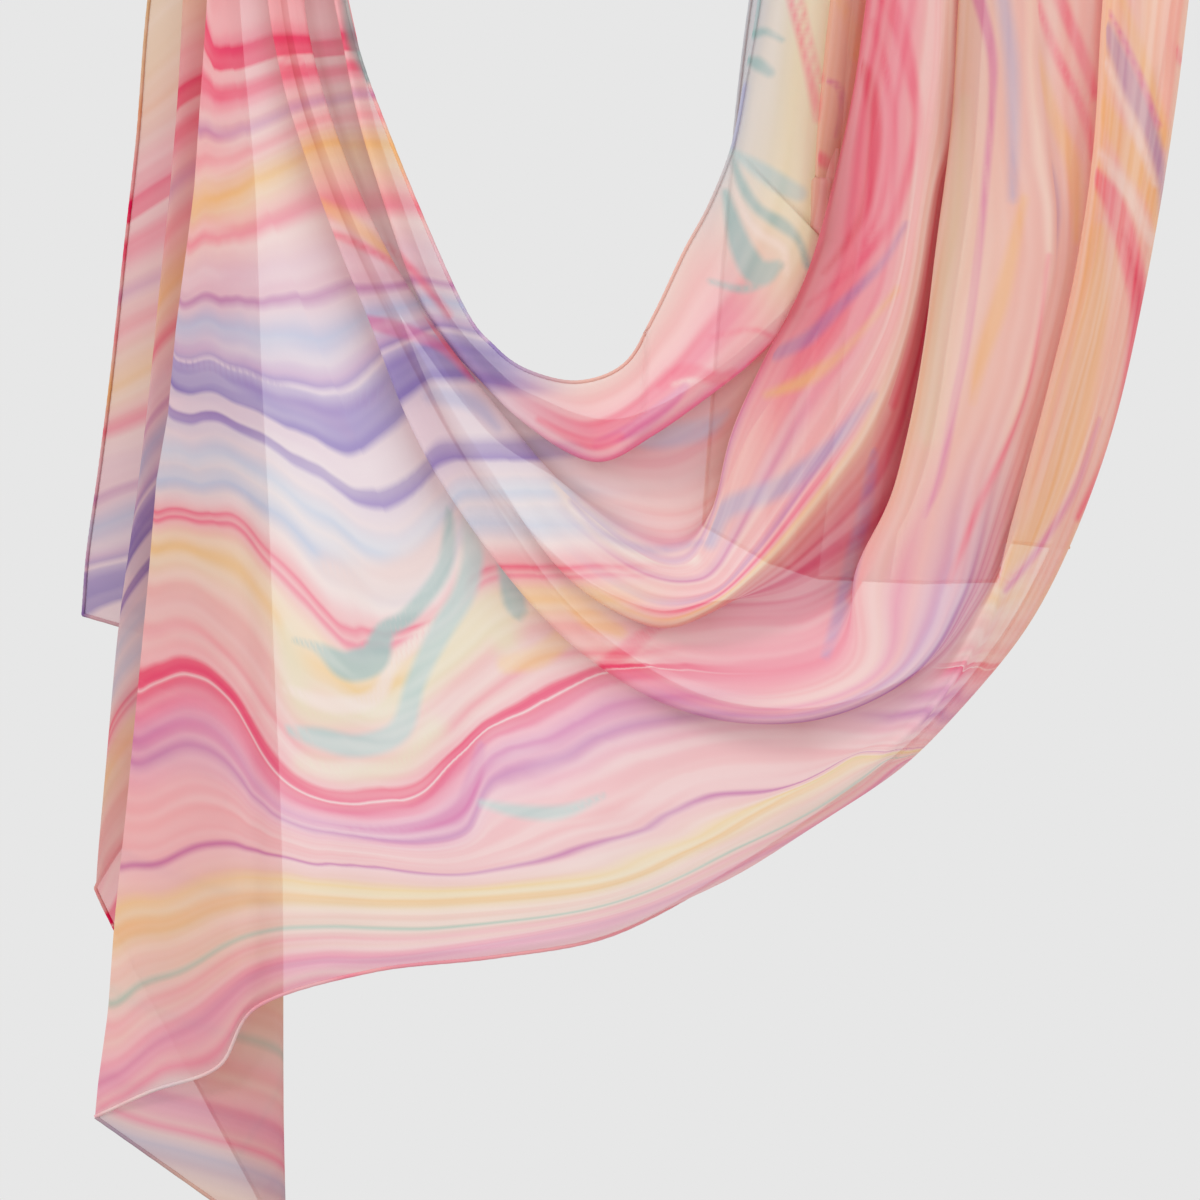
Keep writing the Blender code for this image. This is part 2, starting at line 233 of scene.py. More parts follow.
def pin_left_fold(grid, first_row):
    """Bring the front panel's left edge on to its measured fold."""
    fold_x, fold_z = np.transpose(LEFT_FOLD)
    panel = grid[first_row:]
    shift = np.interp(-panel[:, :1, 2], -fold_z, fold_x) - panel[:, :1, 0]
    column = np.linspace(0, 1, grid.shape[1])[None, :]
    panel[..., 0] += shift * np.clip(1 - column / LEFT_FOLD_REACH, 0, 1) ** 2
    return grid


def swag_grid():
    """The swag as a grid of points, and the lane of each row."""
    positions = np.linspace(0, 1, SWAG_COLUMNS)
    corners = np.array([fold_line(fold, positions) for fold in SWAG_FOLDS])
    steps = [fold["steps"] for fold in SWAG_FOLDS[:-1]]
    grid, lanes = rounded_section(corners, steps)
    return pin_left_fold(grid, sum(steps[:FOLD_A_FIRST])), lanes


def resample(line, count):
    """count points at even distances along a line."""
    distance = np.concatenate([[0], np.cumsum(np.linalg.norm(np.diff(line, axis=0), axis=1))])
    places = np.linspace(0, distance[-1], count)
    return np.column_stack([np.interp(places, distance, line[:, axis]) for axis in range(3)])


def tail_grid(swag, first_row):
    """Zigzag behind the front panel; its first line is the swag's own left fold."""
    positions = np.linspace(0, 1, TAIL_COLUMNS)
    left_fold = resample(swag[first_row:, 0], TAIL_COLUMNS)
    lines = [left_fold] + [smooth_through(fold["points"], positions) for fold in TAIL_FOLDS]
    steps = [FIRST_TAIL_STEPS] + [fold["steps"] for fold in TAIL_FOLDS[:-1]]
    return rounded_section(np.array(lines), steps)


def fall_grid(swag):
    """Over the support and down the back, keeping the pleats of the swag's right end."""
    top = swag[:, -1]
    left = top[0, 0]
    offset = (SUPPORT_FRONT - top[:, 1])[:, None]
    axis_depth = SUPPORT_FRONT + SUPPORT_RADIUS
    turn = np.linspace(0, np.pi, FALL_TURN_STEPS + 1)[None, :]
    over_y = axis_depth - (SUPPORT_RADIUS + offset) * np.cos(turn)
    over_z = SUPPORT_LEVEL + (SUPPORT_RADIUS + offset) * np.sin(turn)
    drop = np.linspace(0, 1, FALL_DROP_STEPS + 1)[None, 1:]
    down_y = axis_depth + SUPPORT_RADIUS + offset * (1 + 0.6 * drop)
    hem_x = FALL_LEFT + (top[:, :1] - left) * FALL_SPREAD
    bottom = np.interp(hem_x, *np.transpose(FALL_HEM))
    down_z = SUPPORT_LEVEL + (bottom - SUPPORT_LEVEL) * drop
    lean = 0.6 + (top[:, :1] - left) / (top[-1, 0] - left)
    turn_x = np.repeat(top[:, :1], FALL_TURN_STEPS + 1, axis=1)
    down_x = top[:, :1] + (hem_x - top[:, :1]) * drop ** lean
    return np.stack([np.hstack([turn_x, down_x]), np.hstack([over_y, down_y]),
                     np.hstack([over_z, down_z])], axis=-1)


def smoothstep(low, high, value):
    """0 below low, 1 above high, and a smooth rise between them."""
    f = np.clip((value - low) / (high - low), 0, 1)
    return f * f * (3 - 2 * f)


def distance_to(line, x, z):
    """Distance of each point from a line drawn on the front of the scarf, and its side: + below."""
    best = np.full(x.shape, 1e9)
    side = np.zeros(x.shape)
    for (x0, z0), (x1, z1) in zip(line, line[1:]):
        run = np.array([x1 - x0, z1 - z0], float)
        f = np.clip(((x - x0) * run[0] + (z - z0) * run[1]) / (run @ run), 0, 1)
        away_x, away_z = x - (x0 + f * run[0]), z - (z0 + f * run[1])
        distance = np.hypot(away_x, away_z)
        closer = distance < best
        best = np.where(closer, distance, best)
        side = np.where(closer, np.sign(run[1] * away_x - run[0] * away_z), side)
    return best, side


# Creases on the front: lane range, line in mm, width in mm, height towards the viewer in mm.
CREASES = [
    dict(lanes=(11.2, 14.4), line=[(-232, -405), (-228, -560), (-226, -690)], width=9, height=2.2),
    dict(lanes=(11.3, 13.8), line=[(-160, -330), (-172, -480), (-176, -640)], width=22, height=2.5),
    dict(lanes=(11.3, 14.4), line=[(-105, -440), (-96, -560), (-92, -670)], width=26, height=-2.5),
    dict(lanes=(11.3, 14.4), line=[(-20, -540), (-18, -610), (-12, -655)], width=22, height=2.5),
    dict(lanes=(9, 13.9), line=[(90, -540), (120, -575), (122, -600)], width=16, height=-2.0),
    dict(lanes=(11, 14.4), line=[(205, -498), (178, -545), (150, -577)], width=10, height=2.0),
    dict(lanes=(4.2, 6), line=[(-30, -405), (20, -440), (60, -446)], width=6, height=-2.0),
    dict(lanes=(8, 10), line=[(-20, -476), (40, -512), (100, -524)], width=6, height=-1.6),
    dict(lanes=(12, 14.4), line=[(331, -142), (332, -198)], width=5, height=-2.0),
    dict(lanes=(9, 10), line=[(262, -120), (268, -230), (244, -360)], width=8, height=-2.5),
    dict(lanes=(2.2, 4), line=[(-10, -372), (30, -392), (58, -386)], width=8, height=2.5),
]
NECK_FOLD = [(16, -300), (14.5, -345), (0, -362), (-10, -366)]    # left edge of the right neckline panel
NECK_FOLD_HEIGHT = 9.0


def add_creases(grid, lanes):
    """Soft ridges and troughs, and the right neckline panel brought forward beside its left edge."""
    x, z = grid[..., 0], grid[..., 2]
    lane = np.broadcast_to(lanes[:, None], x.shape)
    towards = np.zeros(x.shape)
    for crease in CREASES:
        low, high = crease["lanes"]
        distance, _ = distance_to(crease["line"], x, z)
        inside = smoothstep(low, low + 0.3, lane) * (1 - smoothstep(high - 0.3, high, lane))
        towards += crease["height"] * inside * np.exp(-(distance / crease["width"]) ** 2)
    distance, side = distance_to(NECK_FOLD, x, z)
    right = 1 - smoothstep(-2.2, 2.2, distance * side)
    column = np.linspace(0, 1, grid.shape[1])[None, :]
    towards += NECK_FOLD_HEIGHT * right * (1 - smoothstep(0.6, 1.3, lane)) * (
        smoothstep(0.45, 0.5, column) * (1 - smoothstep(0.60, 0.8, column)))
    out = grid.copy()
    out[..., 1] -= towards
    return out


def add_wander(grid, height, size, seed):
    """Slow waves of a thin cloth, along its own normal; still at the grid's edges."""
    normal = directions(np.cross(np.gradient(grid, axis=0), np.gradient(grid, axis=1)))
    rows, columns = grid.shape[:2]
    row_fade = np.minimum(np.arange(rows), np.arange(rows)[::-1]) / (rows * 0.08)
    column_fade = np.minimum(np.arange(columns), np.arange(columns)[::-1]) / (columns * 0.06)
    fade = np.minimum(row_fade, 1)[:, None] * np.minimum(column_fade, 1)[None, :]
    wave = np.array([[noise.noise(Vector((p[0] / size, p[1] / size + seed, p[2] / (2.2 * size))))
                      for p in row] for row in grid])
    return grid + normal * (wave * fade * height)[..., None]


# ---------------------------------------------------------------- print

# Lines of the marbled print across the front panel: the print's level there, in mm below the left
# hold at the panel's left edge, then the line's (x, z) in mm.
PRINT_LINES = [
    (92, [(-262, -60), (-230, -60), (-208, -60)]),
    (123, [(-256, -124), (-230, -122), (-212, -119), (-190, -117)]),
    (172, [(-262, -182), (-232, -172), (-196, -160), (-170, -150)]),
    (215, [(-266, -219), (-233, -204), (-190, -184), (-165, -178)]),
    (236, [(-270, -240), (-227, -230), (-178, -222), (-140, -215)]),
    (270, [(-274, -270), (-221, -270), (-169, -267), (-130, -262)]),
    (307, [(-276, -306), (-246, -311), (-218, -322), (-184, -326), (-150, -306), (-118, -290)]),
    (329, [(-278, -324), (-246, -330), (-212, -345), (-184, -362), (-166, -364), (-146, -345), (-118, -320)]),
    (345, [(-280, -345), (-256, -341), (-221, -356), (-184, -381), (-153, -396), (-128, -388), (-112, -368)]),
    (381, [(-284, -381), (-246, -378), (-212, -396), (-178, -424), (-140, -448), (-112, -430), (-98, -400)]),
    (408, [(-290, -407), (-240, -405), (-218, -430), (-190, -460), (-160, -480), (-120, -475), (-88, -440)]),
    (429, [(-292, -427), (-246, -429), (-215, -460), (-196, -492), (-160, -512), (-116, -500), (-75, -455)]),
    (467, [(-294, -467), (-267, -464), (-246, -476), (-227, -494), (-196, -538), (-150, -545), (-112, -530),
           (-80, -500), (-56, -478)]),
    (485, [(-297, -480), (-267, -478), (-240, -498), (-215, -528), (-188, -556), (-150, -560), (-110, -548),
           (-80, -520), (-46, -492)]),
    (510, [(-298, -509), (-267, -500), (-240, -510), (-212, -559), (-178, -577), (-130, -577), (-104, -550),
           (-86, -535), (-49, -516), (-12, -491)]),
    (546, [(-301, -550), (-267, -543), (-242, -558), (-218, -590), (-172, -597), (-123, -602), (-92, -592),
           (-80, -560), (-40, -545), (0, -525), (40, -520)]),
    (583, [(-304, -586), (-267, -575), (-236, -580), (-200, -604), (-150, -608), (-104, -612), (-70, -600),
           (-30, -580), (20, -560), (60, -548), (110, -545)]),
    (620, [(-307, -621), (-270, -605), (-233, -600), (-166, -608), (-92, -621), (-12, -602), (50, -575),
           (110, -565), (180, -520)]),
    (648, [(-310, -649), (-270, -637), (-230, -631), (-135, -632), (-12, -623), (86, -577), (172, -520),
           (225, -455)]),
    (700, [(-314, -700), (-270, -675), (-227, -656), (-184, -652), (-104, -651), (-12, -638), (61, -608),
           (150, -558), (225, -480)]),
    (755, [(-319, -755), (-270, -715), (-227, -682), (-184, -675), (-135, -672), (-12, -648), (61, -620),
            (150, -570), (240, -480)]),
    (779, [(-322, -780), (-289, -764), (-247, -748), (-223, -711), (-152, -689), (-76, -680), (-5, -666),
            (64, -629), (133, -583), (190, -537), (244, -468)]),
]


def print_level(x, z):
    """The print's level, in mm, at points seen from the front, between the lines above."""
    curves = [smooth_through(line, np.linspace(0, 1, 10 * len(line))) for _, line in PRINT_LINES]
    heights = np.array([np.interp(x.ravel(), curve[:, 0], curve[:, 1]) for curve in curves])
    heights = np.minimum.accumulate(heights - 0.5 * np.arange(len(heights))[:, None], axis=0)
    levels = np.array([level for level, _ in PRINT_LINES], float)
    z = z.ravel()
    above = np.clip((heights > z).sum(axis=0) - 1, 0, len(levels) - 2)
    pick = np.arange(len(z))
    top, bottom = heights[above, pick], heights[above + 1, pick]
    f = (top - z) / np.maximum(top - bottom, 0.5)
    f = np.where(above == len(levels) - 2, np.minimum(f, 1.3), f)
    f = np.maximum(f, -1.5)
    return levels[above] + f * (levels[above + 1] - levels[above])


def smooth_rows(values, passes):
    """Even out a field on a grid, so that it has no corners where the drawn lines turn."""
    for _ in range(passes):
        padded = np.pad(values, 1, mode="edge")
        values = (padded[:-2, 1:-1] + padded[2:, 1:-1] + padded[1:-1, :-2] + padded[1:-1, 2:]
                  + 2 * values) / 6
    return values


# Single features of the print, over the stripes: paint, lane range, and (x, z, half width) in mm.
STROKES = [
    # Swirl on the front panel.
    ("blush", (10.2, 14.4), [(-180, -440, 7), (-150, -450, 12), (-130, -445, 14), (-105, -420, 7)]),
    ("blush", (10.2, 14.4), [(-90, -410, 4), (-75, -425, 7), (-55, -455, 7)]),
    ("olive", (10.2, 14.4), [(-205, -480, 5), (-200, -510, 9), (-190, -530, 7), (-155, -530, 7),
     (-130, -520, 7), (-105, -490, 12), (-80, -470, 15), (-70, -485, 9)]),
    ("olive", (10.2, 14.4), [(-195, -560, 4), (-165, -565, 6), (-135, -560, 6), (-115, -540, 7)]),
    ("apricot", (10.2, 14.4), [(-70, -500, 5), (-50, -495, 7), (-30, -480, 6)]),
    ("cream", (10.2, 14.4), [(-205, -515, 2), (-175, -525, 5), (-150, -520, 5), (-140, -500, 4),
     (-125, -485, 4), (-100, -460, 4), (-95, -425, 3)]),
    ("pale_teal", (10.2, 14.4), [(-205, -540, 2), (-185, -545, 6), (-160, -550, 7), (-135, -540, 7),
     (-125, -510, 6), (-110, -480, 7), (-95, -455, 7), (-90, -430, 6), (-95, -410, 3)]),
    ("teal", (10.2, 14.4), [(-200, -485, 1), (-185, -490, 3), (-170, -500, 8), (-160, -500, 10),
     (-150, -495, 9), (-145, -480, 6), (-130, -470, 5), (-110, -445, 5), (-105, -425, 4), (-105, -405, 2)]),
    ("teal", (10.2, 14.4), [(-70, -435, 5), (-65, -460, 7), (-60, -470, 3)]),
    ("violet", (10.2, 12.8), [(-270, -315, 2), (-240, -320, 4), (-205, -335, 6), (-180, -345, 7),
     (-165, -360, 2)]),
    ("violet", (10.2, 12.6), [(-180, -340, 5), (-150, -335, 5), (-130, -320, 2)]),
    ("pale_teal", (10.2, 14.4), [(-85, -585, 2), (-60, -590, 4), (-35, -590, 4), (-10, -580, 1)]),
    ("orchid", (10.2, 14.4), [(-170, -600, 1), (-125, -600, 2), (-100, -590, 4), (-90, -570, 5),
     (-85, -550, 3)]),
    # Left pleats.
    ("rose", (5, 10), [(-215, -130, 2), (-195, -135, 2), (-180, -145, 1)]),
    ("rose", (5, 10), [(-220, -120, 2), (-195, -130, 1), (-185, -150, 1)]),
    ("apricot", (3, 10), [(-205, -210, 3), (-170, -225, 4), (-145, -245, 3), (-135, -255, 1)]),
    ("rose", (3, 10), [(-195, -230, 2), (-165, -240, 2), (-130, -260, 2), (-120, -275, 1)]),
    ("orchid", (3, 9.6), [(-155, -290, 4), (-135, -295, 5), (-110, -305, 3), (-90, -325, 2)]),
    ("rose", (1, 4.5), [(-135, -275, 1), (-105, -305, 3), (-75, -330, 4), (-50, -345, 4), (-30, -350, 2)]),
    ("periwinkle", (3, 9), [(-115, -335, 5), (-90, -340, 5), (-75, -355, 2)]),
    ("rose", (0, 3), [(-145, -240, 1), (-130, -255, 2), (-105, -285, 2)]),
    ("teal", (-1, 1.5), [(-170, -90, 2), (-165, -115, 3), (-155, -140, 2)]),
    ("apricot", (6, 9.4), [(-35, -455, 2), (-20, -470, 6), (0, -480, 4)]),
    ("rose", (6, 9.4), [(-10, -500, 4), (5, -490, 5), (25, -475, 3), (50, -465, 2)]),
    ("violet", (3, 6), [(-30, -400, 1), (-10, -420, 2), (20, -430, 2), (50, -425, 1)]),
    ("cream", (4, 6), [(-40, -390, 2), (-20, -410, 5), (10, -430, 6), (45, -435, 4)]),
    # Inner roll and bowl.
    ("rose", (-1, 2.2), [(-50, -350, 1), (-30, -360, 2), (-15, -365, 3), (0, -360, 2)]),
    ("periwinkle", (1.5, 3.6), [(-5, -355, 2), (20, -360, 7), (50, -355, 6), (65, -345, 2)]),
    ("orchid", (-1, 1.6), [(-15, -365, 2), (10, -355, 5), (30, -340, 4), (40, -330, 2)]),
    # Right neckline panel.
    ("teal", (-1, 2), [(85, -90, 1), (80, -110, 3), (90, -110, 2), (100, -115, 1)]),
    ("teal", (-1, 2), [(80, -128, 2), (85, -130, 4), (92, -135, 3)]),
    ("periwinkle", (-1, 1), [(75, -145, 3), (72, -160, 3), (68, -180, 2)]),
    ("pale_teal", (-1, 2), [(70, -185, 2), (85, -195, 5), (100, -205, 6), (110, -210, 5)]),
    ("teal", (-1, 2), [(70, -190, 1), (75, -205, 3), (85, -220, 3), (100, -230, 4), (110, -240, 2),
     (115, -255, 2)]),
    ("teal", (-1, 2), [(65, -210, 2), (70, -230, 5), (75, -245, 7), (85, -260, 8), (97, -255, 3)]),
    ("teal", (-1, 2), [(55, -265, 1), (75, -270, 2), (90, -265, 2)]),
    ("cream", (-1, 2), [(70, -200, 1), (75, -220, 1), (85, -235, 2), (100, -245, 2), (102, -260, 1)]),
    ("rose", (-1, 2), [(55, -300, 1), (80, -295, 1), (95, -300, 1)]),
    ("rose", (-1, 1.6), [(25, -330, 2), (40, -320, 4), (60, -325, 4), (70, -320, 1)]),
    ("rose", (-1, 3.2), [(80, -315, 1), (90, -308, 3), (100, -300, 1)]),
    ("cream", (-1, 1.6), [(32, -328, 1), (50, -325, 1), (65, -325, 1)]),
    ("rose", (-1, 2.6), [(105, -90, 2), (113, -120, 2), (120, -150, 3), (121, -165, 1)]),
    ("rose", (-1, 2.6), [(112, -90, 1), (120, -125, 1), (124, -140, 1)]),
    # Second panel.
    ("apricot", (2, 4), [(135, -90, 3), (142, -105, 3), (145, -125, 3)]),
    ("orchid", (2, 4), [(125, -140, 1), (135, -145, 2), (137, -160, 2), (133, -175, 1)]),
    ("rose", (2, 4), [(118, -185, 2), (125, -190, 4), (132, -195, 2)]),
    # Third panel.
    ("crimson", (4, 6), [(145, -125, 1), (152, -140, 4), (156, -165, 4), (155, -190, 4), (150, -220, 3),
     (140, -240, 2), (125, -260, 1)]),
    ("rose", (4, 6), [(165, -90, 6), (172, -110, 5), (178, -135, 4), (182, -170, 3), (170, -220, 3),
     (158, -240, 3), (140, -260, 2), (115, -280, 1)]),
    ("rose", (4, 6), [(155, -105, 2), (162, -130, 2), (167, -160, 2), (165, -195, 2), (158, -225, 1),
     (145, -250, 1)]),
    ("violet", (4, 6), [(175, -230, 1), (160, -255, 2), (135, -280, 3), (115, -300, 4), (95, -310, 4)]),
    ("apricot", (4, 6), [(170, -270, 1), (140, -305, 2), (115, -325, 4), (90, -335, 2)]),
    ("periwinkle", (4, 6), [(155, -335, 1), (130, -365, 4), (100, -390, 6), (65, -405, 6), (55, -425, 4)]),
    ("rose", (6, 8), [(185, -360, 2), (170, -400, 3), (155, -435, 3), (140, -460, 2)]),
    ("violet", (6, 8.4), [(155, -370, 2), (150, -405, 4), (142, -435, 4), (135, -465, 4), (125, -495, 2)]),
    ("crimson", (6, 8), [(190, -210, 4), (185, -250, 5), (175, -295, 5), (165, -340, 4)]),
    # Fifth panel.
    ("orchid", (8, 9.2), [(220, -90, 4), (228, -125, 3), (228, -155, 2), (225, -190, 2), (220, -240, 2),
     (212, -300, 2), (205, -335, 2), (195, -385, 2), (185, -410, 1)]),
    ("periwinkle", (8, 9.2), [(235, -90, 4), (240, -130, 4), (241, -175, 3), (240, -215, 2)]),
    ("apricot", (8, 9.2), [(247, -215, 2), (233, -275, 5), (220, -315, 4), (215, -340, 1)]),
    ("olive", (8, 9.2), [(210, -155, 2), (205, -225, 4), (195, -295, 4), (187, -360, 4)]),
    ("rose", (8, 11), [(262, -250, 1), (255, -300, 1), (245, -345, 1), (220, -400, 2), (200, -450, 1)]),
    # Sixth panel.
    ("rose", (9, 11), [(255, -90, 2), (268, -125, 3), (280, -150, 3), (287, -170, 3), (290, -190, 1)]),
    ("rose", (9, 11), [(270, -90, 4), (284, -125, 4), (292, -150, 3)]),
    ("violet", (9, 11), [(255, -175, 1), (265, -200, 1), (268, -225, 1), (263, -260, 1)]),
    ("apricot", (9, 11), [(253, -115, 2), (265, -160, 4), (278, -195, 5), (280, -240, 2)]),
    # Seventh panel.
    ("apricot", (11, 14.3), [(292, -235, 5), (288, -285, 9), (280, -335, 9), (270, -375, 9),
     (250, -420, 6), (225, -455, 3)]),
    ("apricot", (11, 14.3), [(293, -155, 5), (310, -185, 7), (325, -210, 6), (330, -235, 2)]),
    ("apricot", (11, 14.3), [(308, -90, 2), (320, -130, 4), (335, -180, 4)]),
    ("cream", (11, 14.3), [(292, -185, 2), (310, -210, 4), (325, -240, 3)]),
    ("cream", (11, 14.3), [(297, -130, 2), (313, -165, 3), (328, -205, 2)]),
    ("violet", (11, 14.3), [(298, -110, 4), (313, -145, 6), (324, -170, 5), (332, -200, 3),
     (332, -225, 1)]),
    ("orchid", (11, 14.3), [(300, -100, 1), (317, -135, 2), (330, -170, 2)]),
    ("rose", (11, 14.3), [(290, -200, 4), (303, -220, 7), (313, -255, 7), (318, -285, 6), (310, -335, 4),
     (300, -370, 3), (280, -410, 2)]),
    ("crimson", (11, 14.4), [(308, -235, 1), (318, -275, 3), (317, -305, 3), (310, -335, 2),
     (302, -360, 1)]),
    ("rose", (12.6, 14.3), [(325, -85, 2), (335, -110, 2), (345, -130, 2)]),
    ("orchid", (11, 13.6), [(293, -350, 1), (278, -393, 2), (255, -430, 2), (235, -455, 1)]),
]
SHADE_COLOR = (218, 186, 184)     # colour of the shade beside a fold
# Each paint's colour (sRGB), the softness of its edge in cm, and how much it covers.
PAINTS = {
    "blush": ((244, 216, 212), 0.80, 0.85), "olive": ((240, 230, 198), 0.85, 0.85),
    "apricot": ((250, 204, 140), 0.35, 0.80), "cream": ((250, 232, 222), 0.30, 0.85),
    "pale_teal": ((188, 214, 212), 0.30, 0.85), "teal": ((148, 190, 188), 0.28, 0.85),
    "periwinkle": ((182, 184, 222), 0.42, 0.70), "violet": ((170, 140, 202), 0.30, 0.60),
    "orchid": ((228, 120, 180), 0.22, 0.80), "rose": ((248, 92, 134), 0.28, 0.72),
    "crimson": ((236, 50, 98), 0.30, 0.80),
}

# Colours of the front panel's print, by how far below the left hold they meet its left edge:
# (mm below the hold, sRGB).
LEVEL_COLORS = [
    (18, (240, 222, 186)), (55, (246, 224, 190)), (77, (247, 200, 165)), (92, (247, 214, 205)),
    (104, (250, 190, 196)), (114, (250, 186, 194)), (118, (250, 160, 178)), (120, (247, 78, 128)),
    (129, (247, 84, 130)), (131, (251, 206, 208)), (136, (249, 195, 200)), (142, (248, 92, 136)),
    (150, (250, 165, 182)), (161, (247, 208, 208)), (169, (224, 166, 198)), (176, (248, 208, 206)),
    (190, (250, 182, 188)), (201, (247, 216, 196)), (214, (249, 210, 148)), (222, (248, 220, 190)),
    (231, (249, 196, 194)), (237, (247, 142, 164)), (243, (246, 214, 212)), (257, (240, 210, 220)),
    (268, (240, 205, 216)), (271, (206, 138, 190)), (276, (238, 214, 224)), (286, (204, 208, 232)),
    (296, (228, 212, 228)), (302, (214, 180, 216)), (305, (186, 158, 210)), (308, (238, 220, 232)),
    (310, (182, 162, 214)), (320, (164, 144, 206)), (328, (158, 136, 202)), (331, (240, 222, 230)),
    (341, (240, 222, 230)), (343, (166, 138, 198)), (347, (172, 148, 206)), (350, (238, 224, 232)),
    (357, (244, 230, 232)), (368, (208, 216, 234)), (376, (240, 230, 232)), (386, (200, 210, 232)),
    (394, (246, 228, 226)), (403, (249, 190, 194)), (405, (247, 104, 140)), (408, (250, 184, 190)),
    (410, (247, 116, 150)), (413, (249, 200, 198)), (420, (248, 222, 186)), (429, (249, 216, 160)),
    (436, (247, 226, 200)), (451, (248, 205, 200)), (463, (246, 200, 198)), (470, (247, 204, 200)),
    (479, (248, 180, 186)), (485, (249, 206, 204)), (497, (250, 190, 196)), (501, (246, 78, 126)),
    (508, (246, 92, 138)), (510, (253, 222, 224)), (511.5, (246, 84, 132)), (515, (244, 108, 150)),
    (526, (248, 160, 190)), (535, (228, 140, 192)), (544, (240, 176, 204)), (550, (214, 132, 190)),
    (558, (246, 190, 206)), (571, (250, 200, 204)), (591, (250, 196, 198)), (614, (249, 202, 204)),
    (618, (214, 132, 184)), (623, (249, 206, 208)), (635, (248, 214, 204)), (643, (248, 218, 160)),
    (650, (246, 226, 184)), (657, (248, 206, 144)), (667, (247, 222, 188)), (682, (248, 212, 200)),
    (696, (244, 218, 204)), (701, (186, 206, 190)), (706, (244, 214, 204)), (718, (248, 190, 194)),
    (728, (247, 208, 202)), (744, (246, 170, 190)), (751, (228, 124, 172)), (756, (243, 176, 198)),
    (763, (247, 204, 206)), (767, (247, 168, 188)), (772, (236, 214, 214)), (779, (196, 194, 216)),
    (787, (222, 206, 212)), (798, (240, 222, 206)), (820, (248, 204, 200)), (838, (240, 226, 208)),
]
# Colours across the folds where the cowls hang, by lane: a whole number is a fold line (sRGB).
COWL_COLORS = [
    (0.0, (240, 206, 196)), (0.3, (249, 190, 190)), (0.55, (246, 130, 160)), (0.7, (250, 176, 186)),
    (0.85, (247, 190, 196)), (1.0, (250, 130, 178)), (1.5, (224, 100, 146)), (2.2, (236, 150, 168)),
    (2.6, (244, 180, 186)), (3.0, (246, 198, 194)), (3.4, (250, 190, 192)), (3.7, (240, 168, 190)),
    (3.85, (248, 204, 200)), (4.0, (222, 160, 196)), (4.15, (249, 200, 198)), (4.5, (250, 196, 196)),
    (4.7, (226, 150, 190)), (4.8, (250, 206, 204)), (5.15, (250, 192, 196)), (5.4, (214, 150, 194)),
    (5.5, (250, 190, 196)), (5.66, (246, 110, 150)), (5.74, (250, 196, 196)), (5.84, (248, 206, 140)),
    (5.94, (240, 214, 176)), (6.1, (236, 160, 150)), (6.5, (226, 100, 138)), (7.0, (232, 120, 150)),
    (7.4, (247, 170, 182)), (7.8, (246, 120, 152)), (8.0, (250, 188, 192)), (8.3, (249, 200, 196)),
    (8.45, (240, 130, 170)), (8.55, (250, 196, 198)), (8.75, (214, 150, 200)), (8.86, (240, 196, 212)),
    (9.0, (196, 136, 190)), (9.4, (214, 130, 176)), (10.0, (226, 150, 180)), (11.0, (249, 204, 202)),
    (12.0, (248, 210, 196)), (13.0, (247, 206, 170)), (14.0, (240, 176, 150)),
]
# The same where the cloth rises to the right hold and falls behind it. The darker stops near lane 10 are
# painted shade on the cloth behind the swag edge.
HOLD_COLORS = [
    (0.0, (206, 208, 214)), (0.15, (232, 224, 212)), (0.4, (240, 230, 200)), (0.7, (236, 230, 196)),
    (0.9, (246, 218, 196)), (1.0, (248, 200, 190)), (1.6, (240, 170, 170)), (2.0, (244, 206, 178)),
    (2.4, (248, 206, 180)), (2.8, (248, 170, 170)), (3.4, (240, 140, 156)), (4.0, (249, 138, 160)),
    (4.2, (250, 160, 178)), (4.45, (248, 124, 152)), (4.6, (250, 180, 190)), (4.75, (248, 144, 166)),
    (4.9, (250, 196, 198)), (5.0, (248, 206, 202)), (5.3, (250, 196, 196)), (5.6, (248, 212, 200)),
    (5.9, (246, 216, 194)), (6.1, (236, 160, 150)), (6.4, (226, 84, 120)), (6.8, (204, 58, 98)),
    (7.2, (214, 84, 116)), (7.8, (236, 160, 146)), (8.0, (244, 214, 178)), (8.2, (244, 214, 186)),
    (8.45, (247, 212, 196)), (8.7, (247, 204, 190)), (8.9, (246, 206, 196)), (9.0, (250, 222, 204)),
    (9.1, (248, 208, 196)), (9.5, (248, 200, 190)), (9.8, (246, 180, 176)), (10.4, (242, 170, 160)),
    (11.0, (248, 206, 176)), (11.2, (250, 208, 164)), (11.6, (249, 196, 188)), (12.0, (250, 212, 184)),
    (12.4, (249, 206, 190)), (12.7, (248, 196, 188)), (13.0, (249, 214, 186)), (13.5, (250, 216, 178)),
    (14.0, (247, 176, 130)),
]


def waves(place, size, seed):
    """Smooth random waves over the flat cloth, about -1 to 1, the same on each run."""
    random = np.random.default_rng(seed)
    total = np.zeros(place.shape[:2])
    for _ in range(9):
        heading = random.uniform(0, 2 * math.pi)
        length = size * random.uniform(0.7, 1.6)
        run = place[..., 0] * math.cos(heading) + place[..., 1] * math.sin(heading)
        total += np.sin(2 * math.pi * run / length + random.uniform(0, 2 * math.pi))
    return total / 4.2


def warp_print(fields, place):
    """Let the stripes wander, as the paint of a marbled print does."""
    drift = waves(place, size=0.17, seed=5)
    ripple = waves(place, size=0.045, seed=8)
    fields["level"] = fields["level"] + 3.7 * drift + 0.3 * ripple
    fields["lane"] = fields["lane"] + 0.05 * drift + 0.008 * ripple
    return fields


def smooth_stroke(line):
    """A stroke's points along a smooth curve, five to each stretch."""
    line = np.array(line, float)
    return smooth_through(line, np.linspace(0, 1, 5 * (len(line) - 1) + 1))


